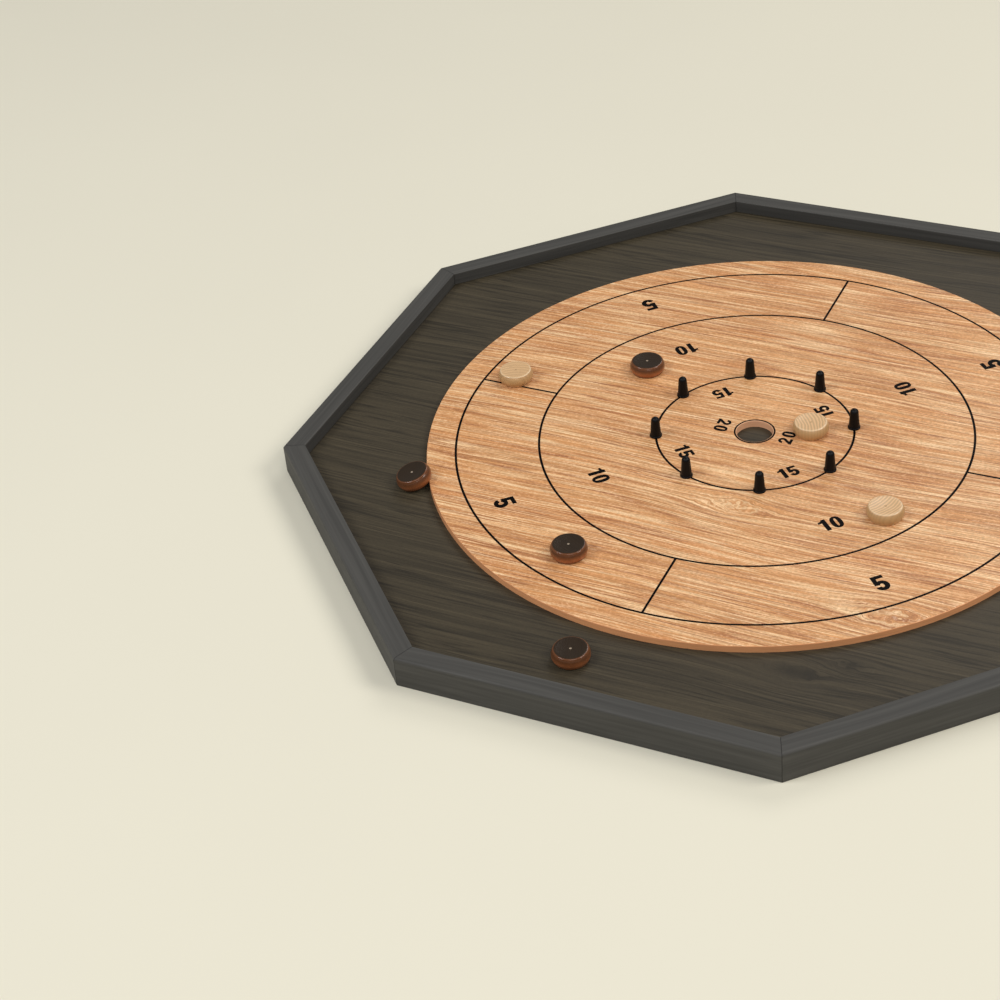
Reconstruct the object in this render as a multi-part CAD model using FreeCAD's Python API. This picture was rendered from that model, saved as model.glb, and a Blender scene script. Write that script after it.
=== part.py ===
"""Reversible crokinole board: one STEP file per piece, in millimetres.

The board lies flat with +Z up. The origin is the centre of the octagon, on the plane of the rail
undersides. Two of the octagon's sides face +X and -X, and two face +Y and -Y. A player sits at -Y.
"""
import FreeCAD, Part

import math
import os

# Octagonal frame. An apothem is the distance from the centre to a flat side.
DITCH_WIDTH = 78.7
RAIL_WIDTH = 18.5
RAIL_HEIGHT = 28.0
RAIL_TOP_ROUND = 2.6
RAIL_EDGE_ROUND = 0.8
SIDES = 8

# Boards stacked inside the frame, from the underside up.
GAMES_RECESS = 6.5
GAMES_PANEL_THICKNESS = 3.2
DITCH_PANEL_THICKNESS = 6.4
GROOVE_DEPTH = 6.0
PANEL_EDGE_GAP = 0.5

# Round playing surface on top of the ditch panel.
SURFACE_RADIUS = 289.8
SURFACE_THICKNESS = 6.4
SURFACE_EDGE_ROUND = 0.8
TWENTY_HOLE_CLEARANCE = 0.3
HOLE_EDGE_ROUND = 0.4

# Hidden keys across the mitres.
KEY_THICKNESS = 3.0
KEY_WIDTH = 14.0
KEY_HEIGHT = 18.0
KEY_OUTER_WALL = 5.9

# Pegs: a steel pin in a rubber sleeve, pushed into a socket.
PEG_COUNT = 8
PEG_CIRCLE_RADIUS = 86.7
PEG_HEIGHT = 19.6
PEG_TIP_RADIUS = 3.75
PEG_FOOT_RADIUS = 4.65
PEG_FLANGE_RADIUS = 5.5
PEG_FLANGE_THICKNESS = 1.5
PEG_FLARE = 2.2
PEG_RUBBER_CAP = 5.0
POST_RADIUS = 1.6
POST_SOCKET_CLEARANCE = 0.05
POST_CHAMFER = 0.4
SOCKET_FLOOR_GAP = 0.8
SEAT_GAP = 0.05

# Playing discs.
DISC_RADIUS = 15.9
DISC_THICKNESS = 11.0
DISC_FACE_RADIUS = 13.2
DISC_EDGE_ROUND = 1.4
DISC_DISH_RADIUS = 12.2
DISC_DISH_DEPTH = 0.5
DISC_DIMPLE_RADIUS = 1.1
DISC_DIMPLE_DEPTH = 0.6
DISC_LIFT = 0.08

# Where each loose disc lies: name, share of the playing surface's radius, angle from +X.
SURFACE_DISCS = (
    ("dark_disc_ten", 0.482, 109.2),
    ("dark_disc_five", 0.793, 203.2),
    ("light_disc_fifteen", 0.169, 332.5),
    ("light_disc_ten", 0.568, 285.7),
    ("light_disc_five", 0.813, 132.7),
)
DITCH_DISC_ANGLE = 219.0
LEANING_DISC_ANGLE = 167.0
LEANING_DISC_OVERHANG = 1.9
LEANING_DISC_GAP = 0.12

# Levels and radii that follow from the sizes above.
INNER_APOTHEM = SURFACE_RADIUS + DITCH_WIDTH
OUTER_APOTHEM = INNER_APOTHEM + RAIL_WIDTH
DITCH_PANEL_Z = GAMES_RECESS + GAMES_PANEL_THICKNESS
DITCH_FLOOR_Z = DITCH_PANEL_Z + DITCH_PANEL_THICKNESS
SURFACE_TOP_Z = DITCH_FLOOR_Z + SURFACE_THICKNESS
TWENTY_HOLE_RADIUS = DISC_RADIUS + TWENTY_HOLE_CLEARANCE
PANEL_APOTHEM = INNER_APOTHEM + GROOVE_DEPTH - PANEL_EDGE_GAP
HALF_TURN = 180.0
SIDE_ANGLE = 360.0 / SIDES
PEG_ANGLE = 360.0 / PEG_COUNT
SOCKET_RADIUS = POST_RADIUS + POST_SOCKET_CLEARANCE
POST_BOTTOM_Z = DITCH_PANEL_Z + SOCKET_FLOOR_GAP
UP = FreeCAD.Vector(0, 0, 1)
CENTRE = FreeCAD.Vector(0, 0, 0)


def at(x, z):
    """A point of a profile drawn in the XZ plane."""
    return FreeCAD.Vector(x, 0, z)


def polar(radius, angle_deg, z=0.0):
    """The point at this distance and angle from the centre."""
    angle = math.radians(angle_deg)
    return FreeCAD.Vector(radius * math.cos(angle), radius * math.sin(angle), z)


def line(start, end):
    return Part.LineSegment(start, end).toShape()


def arc(start, middle, end):
    return Part.Arc(start, middle, end).toShape()


def corner_arc(centre, radius, start_deg, end_deg):
    """An arc in the XZ plane round a centre, from one angle to another."""
    points = []
    for angle_deg in (start_deg, (start_deg + end_deg) / 2, end_deg):
        angle = math.radians(angle_deg)
        points.append(centre + at(radius * math.cos(angle), radius * math.sin(angle)))
    return arc(*points)


def outline(edges):
    """A flat face from edges given in order."""
    return Part.Face(Part.Wire(Part.__sortEdges__(edges)))


def revolved(edges):
    """A solid of revolution about Z from a closed profile in the XZ plane."""
    return outline(edges).revolve(CENTRE, UP, 360)


def turned(shape, angle_deg):
    """A copy turned about the Z axis."""
    copy = shape.copy()
    copy.rotate(CENTRE, UP, angle_deg)
    return copy


def octagon_slab(apothem, bottom, thickness):
    """An octagonal plate with two sides facing +X and -X."""
    corner_radius = apothem / math.cos(math.radians(SIDE_ANGLE / 2))
    corners = [polar(corner_radius, SIDE_ANGLE * (i + 0.5), bottom) for i in range(SIDES)]
    face = Part.Face(Part.makePolygon(corners + corners[:1]))
    return face.extrude(UP * thickness)


def rail_section():
    """The rail's cross-section at +X: a block with a panel groove in its inner face."""
    inner = INNER_APOTHEM
    outer = OUTER_APOTHEM
    top = RAIL_HEIGHT
    ease = RAIL_EDGE_ROUND
    soft = RAIL_TOP_ROUND
    groove = inner + GROOVE_DEPTH
    low = GAMES_RECESS
    high = DITCH_FLOOR_Z
    return outline([
        line(at(inner + ease, 0), at(outer - ease, 0)),
        corner_arc(at(outer - ease, ease), ease, -90, 0),
        line(at(outer, ease), at(outer, top - soft)),
        corner_arc(at(outer - soft, top - soft), soft, 0, 90),
        line(at(outer - soft, top), at(inner + ease, top)),
        corner_arc(at(inner + ease, top - ease), ease, 90, HALF_TURN),
        line(at(inner, top - ease), at(inner, high)),
        line(at(inner, high), at(groove, high)),
        line(at(groove, high), at(groove, low)),
        line(at(groove, low), at(inner, low)),
        line(at(inner, low), at(inner, ease)),
        corner_arc(at(inner + ease, ease), ease, HALF_TURN, 270),
    ])


def corner_key(angle_deg):
    """A flat key through the mitre at this angle, square to the mitre plane."""
    outer_corner = OUTER_APOTHEM / math.cos(math.radians(SIDE_ANGLE / 2))
    key = Part.makeBox(KEY_THICKNESS, KEY_WIDTH, KEY_HEIGHT)
    key.translate(FreeCAD.Vector(
        outer_corner - KEY_OUTER_WALL - KEY_THICKNESS,
        -KEY_WIDTH / 2,
        (RAIL_HEIGHT - KEY_HEIGHT) / 2,
    ))
    return turned(key, angle_deg)


def rail():
    """The rail at +X, mitred at both ends and slotted for its two keys."""
    half_angle = math.radians(SIDE_ANGLE / 2)
    reach = OUTER_APOTHEM + RAIL_WIDTH
    half_span = reach * math.tan(half_angle)
    bar = rail_section()
    bar.translate(FreeCAD.Vector(0, -half_span, 0))
    bar = bar.extrude(FreeCAD.Vector(0, 2 * half_span, 0))
    sector = Part.Face(Part.makePolygon([
        CENTRE,
        FreeCAD.Vector(reach, -half_span, 0),
        FreeCAD.Vector(reach, half_span, 0),
        CENTRE,
    ]))
    bar = bar.common(sector.extrude(UP * RAIL_HEIGHT))
    keys = [corner_key(SIDE_ANGLE / 2), corner_key(-SIDE_ANGLE / 2)]
    return bar.cut(keys)


def peg_place(index):
    """The centre of one peg on its circle."""
    return polar(PEG_CIRCLE_RADIUS, PEG_ANGLE * (index + 0.5))


def peg_sockets():
    """Tools that drill the eight sockets."""
    depth = SURFACE_TOP_Z - DITCH_PANEL_Z
    return [
        Part.makeCylinder(SOCKET_RADIUS, depth, peg_place(i) + UP * DITCH_PANEL_Z)
        for i in range(PEG_COUNT)
    ]


def ditch_panel():
    """The dark octagonal board whose rim is the ditch floor."""
    return octagon_slab(PANEL_APOTHEM, DITCH_PANEL_Z, DITCH_PANEL_THICKNESS).cut(peg_sockets())


def games_panel():
    """The sheet on the underside that carries the other games' fields."""
    return octagon_slab(PANEL_APOTHEM, GAMES_RECESS, GAMES_PANEL_THICKNESS)


def playing_surface():
    """The raised round board with the twenty hole in its middle."""
    edge = SURFACE_EDGE_ROUND
    lip = HOLE_EDGE_ROUND
    floor = DITCH_FLOOR_Z
    top = SURFACE_TOP_Z
    plate = revolved([
        line(at(TWENTY_HOLE_RADIUS, floor), at(SURFACE_RADIUS, floor)),
        line(at(SURFACE_RADIUS, floor), at(SURFACE_RADIUS, top - edge)),
        corner_arc(at(SURFACE_RADIUS - edge, top - edge), edge, 0, 90),
        line(at(SURFACE_RADIUS - edge, top), at(TWENTY_HOLE_RADIUS + lip, top)),
        corner_arc(at(TWENTY_HOLE_RADIUS + lip, top - lip), lip, 90, HALF_TURN),
        line(at(TWENTY_HOLE_RADIUS, top - lip), at(TWENTY_HOLE_RADIUS, floor)),
    ])
    return plate.cut(peg_sockets())


def peg_post():
    """The steel pin on the centre line, from the socket up into the rubber."""
    top = SURFACE_TOP_Z + SEAT_GAP + PEG_HEIGHT - PEG_RUBBER_CAP
    chamfer = POST_CHAMFER
    return revolved([
        line(at(0, POST_BOTTOM_Z), at(POST_RADIUS - chamfer, POST_BOTTOM_Z)),
        line(at(POST_RADIUS - chamfer, POST_BOTTOM_Z), at(POST_RADIUS, POST_BOTTOM_Z + chamfer)),
        line(at(POST_RADIUS, POST_BOTTOM_Z + chamfer), at(POST_RADIUS, top)),
        line(at(POST_RADIUS, top), at(0, top)),
        line(at(0, top), at(0, POST_BOTTOM_Z)),
    ])


def peg_bumper():
    """The rubber sleeve: a flanged foot, a slight taper and a domed tip."""
    base = SURFACE_TOP_Z + SEAT_GAP
    tip = base + PEG_HEIGHT
    post_top = tip - PEG_RUBBER_CAP
    flange_top = base + PEG_FLANGE_THICKNESS
    flange_round = PEG_FLANGE_THICKNESS / 3
    shoulder = tip - PEG_TIP_RADIUS
    flare_end = at(PEG_FOOT_RADIUS, flange_top + PEG_FLARE)
    flare_start = at(PEG_FLANGE_RADIUS - flange_round, flange_top)
    flare_middle = at(
        PEG_FOOT_RADIUS + (flare_start.x - PEG_FOOT_RADIUS) * 0.3,
        flange_top + PEG_FLARE * 0.3,
    )
    return revolved([
        line(at(POST_RADIUS, base), at(PEG_FLANGE_RADIUS, base)),
        line(at(PEG_FLANGE_RADIUS, base), at(PEG_FLANGE_RADIUS, flange_top - flange_round)),
        corner_arc(at(flare_start.x, flange_top - flange_round), flange_round, 0, 90),
        arc(flare_start, flare_middle, flare_end),
        line(flare_end, at(PEG_TIP_RADIUS, shoulder)),
        corner_arc(at(0, shoulder), PEG_TIP_RADIUS, 0, 90),
        line(at(0, tip), at(0, post_top)),
        line(at(0, post_top), at(POST_RADIUS, post_top)),
        line(at(POST_RADIUS, post_top), at(POST_RADIUS, base)),
    ])


def disc_half_profile():
    """The upper half of a disc's profile, from the axis out to its widest point."""
    half = DISC_THICKNESS / 2
    dish_z = half - DISC_DISH_DEPTH
    sphere = (DISC_DISH_RADIUS ** 2 + DISC_DISH_DEPTH ** 2) / (2 * DISC_DISH_DEPTH)

    def on_dish(radius):
        return at(radius, dish_z + sphere - math.sqrt(sphere ** 2 - radius ** 2))

    rim_corner = at(DISC_FACE_RADIUS + DISC_EDGE_ROUND, half - DISC_EDGE_ROUND)
    bulge = DISC_RADIUS - rim_corner.x
    side_radius = (rim_corner.z ** 2 + bulge ** 2) / (2 * bulge)
    middle_z = rim_corner.z / 2
    side_middle = at(
        DISC_RADIUS - side_radius + math.sqrt(side_radius ** 2 - middle_z ** 2),
        middle_z,
    )
    return [
        line(at(0, dish_z - DISC_DIMPLE_DEPTH), on_dish(DISC_DIMPLE_RADIUS)),
        arc(on_dish(DISC_DIMPLE_RADIUS), on_dish(DISC_DISH_RADIUS / 2), at(DISC_DISH_RADIUS, half)),
        line(at(DISC_DISH_RADIUS, half), at(DISC_FACE_RADIUS, half)),
        corner_arc(at(DISC_FACE_RADIUS, rim_corner.z), DISC_EDGE_ROUND, 90, 0),
        arc(rim_corner, side_middle, at(DISC_RADIUS, 0)),
    ]


def disc():
    """A playing disc centred on the origin, the same on both faces."""
    upper = disc_half_profile()
    lower = [edge.mirror(CENTRE, UP) for edge in upper]
    dimple_z = DISC_THICKNESS / 2 - DISC_DISH_DEPTH - DISC_DIMPLE_DEPTH
    axis = line(at(0, -dimple_z), at(0, dimple_z))
    return revolved(upper + lower + [axis])


def lying_disc(radius, angle_deg, floor):
    """A disc lying flat on a floor."""
    shape = disc()
    shape.translate(polar(radius, angle_deg, floor + DISC_LIFT + DISC_THICKNESS / 2))
    return shape


def leaning_disc():
    """The disc that hangs over the playing surface's edge, its far rim on the ditch floor."""
    along_face = 2 * DISC_FACE_RADIUS - LEANING_DISC_OVERHANG
    tilt = math.asin(SURFACE_THICKNESS / along_face)
    face_centre = DISC_FACE_RADIUS - LEANING_DISC_OVERHANG
    rise = DISC_THICKNESS / 2 + LEANING_DISC_GAP
    shape = disc()
    shape.rotate(CENTRE, FreeCAD.Vector(0, 1, 0), math.degrees(tilt))
    shape.translate(at(
        SURFACE_RADIUS + face_centre * math.cos(tilt) + rise * math.sin(tilt),
        SURFACE_TOP_Z - face_centre * math.sin(tilt) + rise * math.cos(tilt),
    ))
    return turned(shape, LEANING_DISC_ANGLE)


def nodes():
    """Every piece by name."""
    pieces = {}
    one_rail = rail()
    for i in range(SIDES):
        pieces[f"rail_{i + 1}"] = turned(one_rail, SIDE_ANGLE * i)
        pieces[f"corner_key_{i + 1}"] = corner_key(SIDE_ANGLE * (i + 0.5))
    pieces["games_panel"] = games_panel()
    pieces["ditch_panel"] = ditch_panel()
    pieces["playing_surface"] = playing_surface()
    post = peg_post()
    bumper = peg_bumper()
    for i in range(PEG_COUNT):
        place = FreeCAD.Placement(peg_place(i), FreeCAD.Rotation())
        pieces[f"peg_post_{i + 1}"] = post.transformed(place.toMatrix())
        pieces[f"peg_bumper_{i + 1}"] = bumper.transformed(place.toMatrix())
    for name, share, angle_deg in SURFACE_DISCS:
        pieces[name] = lying_disc(share * SURFACE_RADIUS, angle_deg, SURFACE_TOP_Z)
    ditch_middle = (SURFACE_RADIUS + INNER_APOTHEM) / 2
    pieces["dark_disc_ditch"] = lying_disc(ditch_middle, DITCH_DISC_ANGLE, DITCH_FLOOR_Z)
    pieces["dark_disc_leaning"] = leaning_disc()
    return pieces


os.makedirs("parts", exist_ok=True)
for node, solid in nodes().items():
    solid.exportStep(f"parts/{node}.step")
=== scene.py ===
"""Looks of a reversible crokinole board: stained rails, a streaked round playing surface, printed
score lines and numerals, rubber pegs, turned discs, and the printed games side underneath."""

import math

import bpy
from mathutils import Matrix, Vector


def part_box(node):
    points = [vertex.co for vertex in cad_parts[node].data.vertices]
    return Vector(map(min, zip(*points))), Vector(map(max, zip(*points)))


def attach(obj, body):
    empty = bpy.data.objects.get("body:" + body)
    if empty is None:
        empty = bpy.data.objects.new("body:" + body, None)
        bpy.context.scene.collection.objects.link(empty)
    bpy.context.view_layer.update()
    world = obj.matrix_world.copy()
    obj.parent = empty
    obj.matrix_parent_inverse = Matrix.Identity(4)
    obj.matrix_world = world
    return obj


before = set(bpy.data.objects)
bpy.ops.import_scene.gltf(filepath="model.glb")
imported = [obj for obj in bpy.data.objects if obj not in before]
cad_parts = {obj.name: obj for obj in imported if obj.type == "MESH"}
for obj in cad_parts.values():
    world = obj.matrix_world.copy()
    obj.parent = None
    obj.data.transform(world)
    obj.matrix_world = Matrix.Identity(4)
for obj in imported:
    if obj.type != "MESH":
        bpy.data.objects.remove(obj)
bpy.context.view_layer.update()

bl_info = {
    "name": "Crokinole Board Looks",
    "version": (1, 0, 0),
    "blender": (4, 5, 0),
    "location": "3D View > Sidebar > Crokinole",
    "description": "Finishes, printing and studio for a reversible crokinole board",
    "category": "Object",
}

# Places that come from the frame, in metres.
SURFACE_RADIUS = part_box("playing_surface")[1].x
SURFACE_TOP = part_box("playing_surface")[1].z
DITCH_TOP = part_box("ditch_panel")[1].z
GAMES_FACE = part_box("games_panel")[0].z
RAIL_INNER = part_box("rail_1")[0].x
RAIL_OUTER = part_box("rail_1")[1].x
RAIL_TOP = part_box("rail_1")[1].z
PEG_LOW, PEG_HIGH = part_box("peg_post_1")
SOCKET_CLEARANCE = 0.00005
SOCKET_RADIUS = (PEG_HIGH.x - PEG_LOW.x) / 2 + SOCKET_CLEARANCE

SIDES = 8
SIDE_ANGLE = 360 / SIDES
PEGS = 8
QUARTERS = 4
QUARTER_ANGLE = 360 / QUARTERS
HOLE_RADIUS = 0.0162

# Each knot's place along and across the grain, and its size, in metres.
GRAIN_ANGLE = -45.0
SURFACE_KNOTS = ((0.188, -0.203, 0.019), (0.020, -0.107, 0.016))
DITCH_KNOTS = ((0.134, -0.284, 0.017), (0.172, -0.262, 0.010))

# On a disc: half its thickness, distances from its axis, and the width of one growth ring.
DISC_HALF = 0.0055
DARK_FACE_EDGE = 0.0132
DARK_SIDE = 0.0153
# Distance from the axis and width of the dark discs' painted rim highlight.
DARK_RIM = 0.0141
DARK_RIM_WIDTH = 0.0012
PALE_FACE_EDGE = 0.0135
PALE_SIDE = 0.0152
# Distance from the axis and width of the light discs' painted rim highlight.
PALE_RIM = 0.0137
PALE_RIM_WIDTH = 0.0011
DIMPLE_FLOOR = 0.0007
DIMPLE_EDGE = 0.0013
GROWTH_RING = 0.0027

RING_STEPS = 256
ARC_STEPS = 18
FLAG_STEPS = 6
FULL_TURN = 2 * math.pi

# Each number's height, its middle's distance from the board's centre, and where it is repeated.
NUMERALS = (
    ("5", 0.0190, 0.2350, (0, 90, 180, 270)),
    ("10", 0.0155, 0.1480, (0, 90, 180, 270)),
    ("15", 0.0139, 0.0675, (0, 90, 180, 270)),
    ("20", 0.0125, 0.0300, (135, 315)),
)

# The two games underneath.
POINTS = 12
SQUARES = 8
SQUARE_TRIM = 0.00005

# Each lamp's power setting, size, place and colour.
LAMPS = (
    ("right_light", "side_light", 1.9, (2.5, -1.6, 3.1), (1.0, 0.97, 0.93)),
    ("left_light", "side_light", 1.9, (-2.9, 0.2, 3.1), (0.95, 0.97, 1.0)),
    ("front_light", "front_light", 3.4, (-0.8, -2.9, 3.7), (1.0, 0.985, 0.96)),
    ("back_light", "back_light", 2.4, (2.6, 2.3, 3.4), (1.0, 0.985, 0.96)),
)

DARK_DISCS = ("dark_disc_ten", "dark_disc_five", "dark_disc_ditch", "dark_disc_leaning")
LIGHT_DISCS = ("light_disc_fifteen", "light_disc_ten", "light_disc_five")


def length_property(name, description, default):
    return bpy.props.FloatProperty(
        name=name, description=description, default=default, min=0.0, precision=5,
        subtype="DISTANCE", unit="LENGTH",
    )


def colour_property(name, description, default):
    return bpy.props.FloatVectorProperty(
        name=name, description=description, default=default, min=0.0, max=1.0, size=3,
        subtype="COLOR",
    )


def angle_property(name, description, default_deg):
    return bpy.props.FloatProperty(
        name=name, description=description, default=math.radians(default_deg),
        subtype="ANGLE", unit="ROTATION",
    )


class ScorePrinting(bpy.types.PropertyGroup):
    """Sizes of the black printing on the playing surface."""

    line_width: length_property("Line width", "Width of the rings and quarter lines", 0.0021)
    fifteen_ring: length_property("Fifteen ring", "Radius of the ring that the pegs stand on", 0.0867)
    ten_ring: length_property("Ten ring", "Radius of the ring round the ten zone", 0.190)
    five_ring: length_property("Five ring", "Radius of the ring round the five zone", 0.2639)
    hole_ring: length_property("Hole ring", "Radius of the ring round the twenty hole", 0.0175)
    hole_line_width: length_property("Hole line width", "Width of the ring round the hole", 0.0016)
    film: length_property("Ink film", "Thickness of the ink above the wood", 0.00003)


class GamesPrinting(bpy.types.PropertyGroup):
    """Sizes of the printed fields on the underside."""

    field_width: length_property("Points field width", "Width of the field of long points", 0.407)
    field_height: length_property("Field height", "Height of both fields", 0.2865)
    bar_width: length_property("Bar width", "Width of the bar between the two halves", 0.0115)
    border: length_property("Border", "Strip along the bases of the points", 0.0088)
    point_length: length_property("Point length", "Length of one point", 0.112)
    point_gap: length_property("Point gap", "Bare wood between two bases", 0.0006)
    square: length_property("Square", "Side of one square of the chequered field", 0.0355)
    field_gap: length_property("Field gap", "Bare wood between the two fields", 0.0104)
    fine_line: length_property("Fine line", "Width of the thin border lines", 0.0014)
    film: length_property("Ink film", "Thickness of the ink on the wood", 0.00003)


class BoardFinishes(bpy.types.PropertyGroup):
    """Colours of the board, its printing, pegs and discs."""

    surface: colour_property("Playing surface", "Tan of the round board", (0.672, 0.318, 0.120))
    surface_pale: colour_property("Pale streaks", "Cream streaks in the tan", (0.98, 0.67, 0.37))
    surface_deep: colour_property("Dark streaks", "Brown streaks in the tan", (0.36, 0.130, 0.050))
    surface_edge: colour_property("Surface edge", "Band round the round board", (0.88, 0.40, 0.175))
    hole_wall: colour_property("Hole wall", "Fresh wood inside the twenty hole", (0.85, 0.47, 0.27))
    ditch: colour_property("Ditch", "Stained wood of the ditch", (0.0590, 0.0458, 0.0262))
    rail: colour_property("Rails", "Charcoal stain of the rails", (0.064, 0.061, 0.055))
    games: colour_property("Games side", "Red-brown wood of the underside", (0.56, 0.235, 0.125))
    point_dark: colour_property("Dark points", "Grey-brown points", (0.080, 0.050, 0.038))
    point_red: colour_property("Red points", "Red-brown points", (0.135, 0.030, 0.022))
    square_dark: colour_property("Dark squares", "Brown squares", (0.060, 0.020, 0.010))
    square_pale: colour_property("Pale squares", "Tan squares", (0.56, 0.25, 0.105))
    ink: colour_property("Ink", "Black printing", (0.0032, 0.0024, 0.0022))
    rubber: colour_property("Rubber", "Black peg rubber", (0.0025, 0.0025, 0.003))
    steel: colour_property("Steel", "Pins inside the pegs", (0.56, 0.57, 0.58))
    disc_dark: colour_property("Dark disc", "Faces of the dark discs", (0.027, 0.0155, 0.0072))
    disc_dark_side: colour_property("Dark disc side", "Sides of the dark discs", (0.37, 0.120, 0.040))
    disc_pale: colour_property("Light disc", "Faces of the light discs", (0.67, 0.42, 0.21))
    disc_pale_side: colour_property("Light disc side", "Sides of the light discs", (0.60, 0.36, 0.155))
    key: colour_property("Keys", "Bare wood of the hidden keys", (0.55, 0.36, 0.19))


class StudioSettings(bpy.types.PropertyGroup):
    """Camera, lights and floor."""

    azimuth: angle_property("Azimuth", "Camera's angle round the board", -16.688)
    elevation: angle_property("Elevation", "Camera's angle above the table", 36.577)
    roll: angle_property("Roll", "Camera's roll", -5.715)
    lens: bpy.props.FloatProperty(
        name="Lens", description="Focal length", default=81.82, subtype="DISTANCE_CAMERA")
    aside: length_property("Aside", "How far right of the lens axis the surface's centre lies", 0.223933)
    above: length_property("Above", "How far above the lens axis the surface's centre lies", 0.060343)
    distance: length_property("Distance", "Distance from the camera along the lens axis", 1.998547)
    floor: colour_property("Floor", "Pale floor", (0.80, 0.76, 0.62))
    floor_size: length_property("Floor size", "Side of the floor", 14.0)
    sky: bpy.props.FloatProperty(
        name="Sky", description="Strength of the even surrounding light", default=0.19, min=0.0)
    side_light: bpy.props.FloatProperty(
        name="Side lights", description="Power of each side light in watts", default=67.0, min=0.0)
    front_light: bpy.props.FloatProperty(
        name="Front light", description="Power of the front light in watts", default=67.0, min=0.0)
    back_light: bpy.props.FloatProperty(
        name="Back light", description="Power of the back light in watts", default=46.0, min=0.0)


class Number:
    """A value that varies over a surface. Arithmetic on it adds Math nodes."""

    def __init__(self, finish, socket):
        self.finish = finish
        self.socket = socket

    def maths(self, operation, *values):
        numbered = dict(enumerate(values))
        return self.finish.node("ShaderNodeMath", {"operation": operation}, numbered)

    def __add__(self, other):
        return self.maths("ADD", self, other)

    def __radd__(self, other):
        return self.maths("ADD", other, self)

    def __sub__(self, other):
        return self.maths("SUBTRACT", self, other)

    def __rsub__(self, other):
        return self.maths("SUBTRACT", other, self)

    def __mul__(self, other):
        return self.maths("MULTIPLY", self, other)

    def __rmul__(self, other):
        return self.maths("MULTIPLY", other, self)

    def __truediv__(self, other):
        return self.maths("DIVIDE", self, other)

    def __pow__(self, other):
        return self.maths("POWER", self, other)

    def __abs__(self):
        return self.maths("ABSOLUTE", self)

    def larger(self, other):
        return self.maths("MAXIMUM", self, other)

    def smaller(self, other):
        return self.maths("MINIMUM", self, other)

    def rise(self, low, high):
        """0 below low, 1 above high, and a smooth rise between them."""
        return self.finish.node(
            "ShaderNodeMapRange",
            {"interpolation_type": "SMOOTHSTEP", "clamp": True},
            {"Value": self, "From Min": low, "From Max": high},
        )

    def wave(self):
        return self.maths("SINE", self)

    def bell(self):
        """1 at 0, and a smooth fall to 0 on both sides."""
        square = self * self * -1.0
        return self.maths("EXPONENT", square)


class Finish:
    """Builds one procedural material round a Principled shader."""

    def __init__(self, name, constants):
        self.material = bpy.data.materials.new(name)
        self.material.use_nodes = True
        self.tree = self.material.node_tree
        self.tree.nodes.clear()
        output = self.tree.nodes.new("ShaderNodeOutputMaterial")
        self.shader = self.tree.nodes.new("ShaderNodeBsdfPrincipled")
        self.tree.links.new(self.shader.outputs["BSDF"], output.inputs["Surface"])
        for socket_name, value in constants.items():
            self.shader.inputs[socket_name].default_value = value

    def feed(self, node, socket_name, value):
        """Links a varying value to a socket, or sets a constant there."""
        socket = node.inputs[socket_name]
        if isinstance(value, Number):
            self.tree.links.new(value.socket, socket)
        else:
            socket.default_value = value

    def node(self, kind, settings, values, output=0):
        """A node of this kind, with its settings made first, then its sockets."""
        node = self.tree.nodes.new(kind)
        for key, value in settings.items():
            setattr(node, key, value)
        for socket_name, value in values.items():
            self.feed(node, socket_name, value)
        return Number(self, node.outputs[output])

    def place(self, origin=(0, 0, 0), rotation=(0, 0, 0)):
        """The point on the surface, seen from this origin and along these axes."""
        point = self.node("ShaderNodeTexCoord", {}, {}, "Object")
        return self.node(
            "ShaderNodeMapping",
            {"vector_type": "TEXTURE"},
            {"Vector": point, "Location": origin, "Rotation": rotation},
        )

    def split(self, point):
        """The three coordinates of a point."""
        x = self.node("ShaderNodeSeparateXYZ", {}, {"Vector": point}, 0)
        y = self.node("ShaderNodeSeparateXYZ", {}, {"Vector": point}, 1)
        z = self.node("ShaderNodeSeparateXYZ", {}, {"Vector": point}, 2)
        return x, y, z

    def join(self, x, y, z):
        return self.node("ShaderNodeCombineXYZ", {}, {"X": x, "Y": y, "Z": z})

    def noise(self, point, scale, detail=2.0, rough=0.5, seed=0.0):
        """Noise from 0 to 1. The scale has one number for each axis, in lumps per metre."""
        stretched = self.node(
            "ShaderNodeMapping",
            {"vector_type": "POINT"},
            {"Vector": point, "Location": (seed, seed * 1.7, seed * 0.6), "Scale": scale},
        )
        return self.node(
            "ShaderNodeTexNoise",
            {"noise_dimensions": "3D"},
            {"Vector": stretched, "Scale": 1.0, "Detail": detail, "Roughness": rough},
        )

    def lines(self, point, scale, width, seed):
        """Thin lines that wander along the grain, and fade in and out along their length."""
        line = 1 - abs(self.noise(point, scale, 1.0, 0.4, seed) - 0.5) / width
        fading = (scale[0] * 2.2, scale[1] * 0.45, scale[2] * 0.45)
        return line.rise(0.0, 1.0) * self.noise(point, fading, 1.0, 0.5, seed + 0.7).rise(0.42, 0.60)

    def blend(self, factor, first, second):
        """The first colour where the factor is 0, the second where it is 1."""
        return self.node(
            "ShaderNodeMix",
            {"data_type": "RGBA", "clamp_factor": True},
            {0: factor, 6: first, 7: second},
            2,
        )

    def shade(self, colour, amount):
        """A colour made darker or brighter by a varying amount."""
        scaled = self.node("ShaderNodeCombineXYZ", {}, {"X": amount, "Y": amount, "Z": amount})
        return self.node(
            "ShaderNodeMix",
            {"data_type": "RGBA", "blend_type": "MULTIPLY"},
            {0: 1.0, 6: colour, 7: scaled},
            2,
        )

    def wear(self, colour, roughness, height=None, depth=0.0):
        """Feeds the shader with what varies over the surface."""
        self.feed(self.shader, "Base Color", colour)
        self.feed(self.shader, "Roughness", roughness)
        if height is not None:
            bump = self.node(
                "ShaderNodeBump", {}, {"Strength": 1.0, "Distance": depth, "Height": height})
            self.feed(self.shader, "Normal", bump)
        return self.material


def solid(colour):
    """A colour property as the four numbers of a colour socket."""
    return (*colour, 1.0)


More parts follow.
